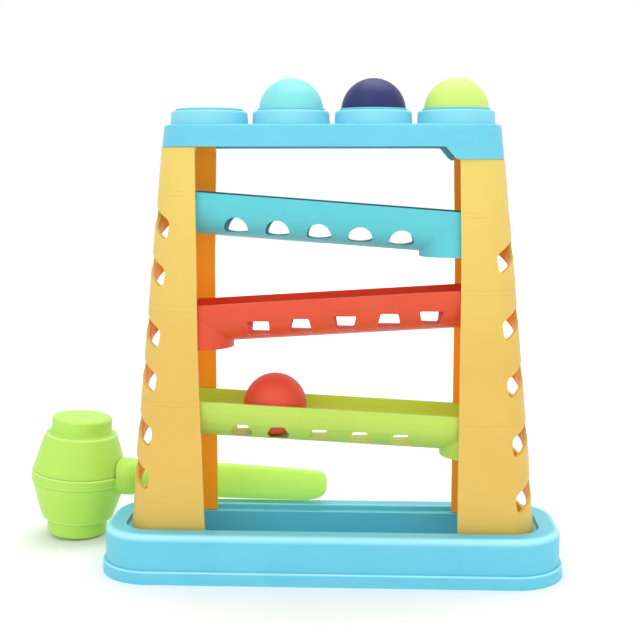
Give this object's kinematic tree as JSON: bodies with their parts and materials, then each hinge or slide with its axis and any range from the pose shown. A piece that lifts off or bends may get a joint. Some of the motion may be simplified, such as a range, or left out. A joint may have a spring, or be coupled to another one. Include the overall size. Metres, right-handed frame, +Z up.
{
  "type": "ball pounding tower",
  "caption": "Tabletop toy: balls pounded through sockets in a deck roll down sloping ramps between two side towers into a tray, with a mallet lying behind.",
  "frame": {"origin": "middle of the whole outline seen from above, on the floor plane the tray stands on", "axes": "+X to the right along the row of sockets, +Y away from the viewer, +Z up"},
  "size_m": [0.4128, 0.1517, 0.357],
  "materials": {
    "sky_blue": "satin moulded plastic",
    "soft_blue": "soft matt rubber",
    "yellow": "satin moulded plastic",
    "pale_blue": "satin moulded plastic",
    "red": "satin moulded plastic",
    "lime": "satin moulded plastic",
    "teal_ball": "smooth satin plastic",
    "navy_ball": "smooth satin plastic",
    "lime_ball": "smooth satin plastic",
    "red_ball": "smooth satin plastic",
    "pale_green": "satin moulded plastic"
  },
  "bodies": {
    "tower": {"base_tray": "sky_blue", "left_pillar": "yellow", "right_pillar": "yellow", "top_deck": "sky_blue", "socket_ring_1": "soft_blue", "socket_ring_2": "soft_blue", "socket_ring_3": "soft_blue", "socket_ring_4": "soft_blue", "upper_ramp": "pale_blue", "middle_ramp": "red", "lower_ramp": "lime"},
    "teal_ball": {"teal_ball": "teal_ball"},
    "navy_ball": {"navy_ball": "navy_ball"},
    "lime_ball": {"lime_ball": "lime_ball"},
    "red_ball": {"red_ball": "red_ball"},
    "mallet": {"mallet_upper_shell": "pale_green", "mallet_lower_shell": "pale_green", "mallet_belt": "pale_green", "mallet_handle": "pale_green"}
  },
  "joints": [
    {"name": "teal_ball_through_socket", "type": "slide", "parent": "tower", "child": "teal_ball", "axis": [0, 0, 1], "range_m": [-0.065, 0.06]},
    {"name": "navy_ball_through_socket", "type": "slide", "parent": "tower", "child": "navy_ball", "axis": [0, 0, 1], "range_m": [-0.0692, 0.06]},
    {"name": "lime_ball_through_socket", "type": "slide", "parent": "tower", "child": "lime_ball", "axis": [0, 0, 1], "range_m": [-0.128, 0.06]},
    {"name": "red_ball_on_ramp", "type": "slide", "parent": "tower", "child": "red_ball", "axis": [0.9986, 0, -0.0522], "range_m": [-0.058, 0.12]},
    {"name": "mallet_lift", "type": "slide", "parent": "tower", "child": "mallet", "axis": [0, 0, 1], "range_m": [0, 0.15]}
  ]
}
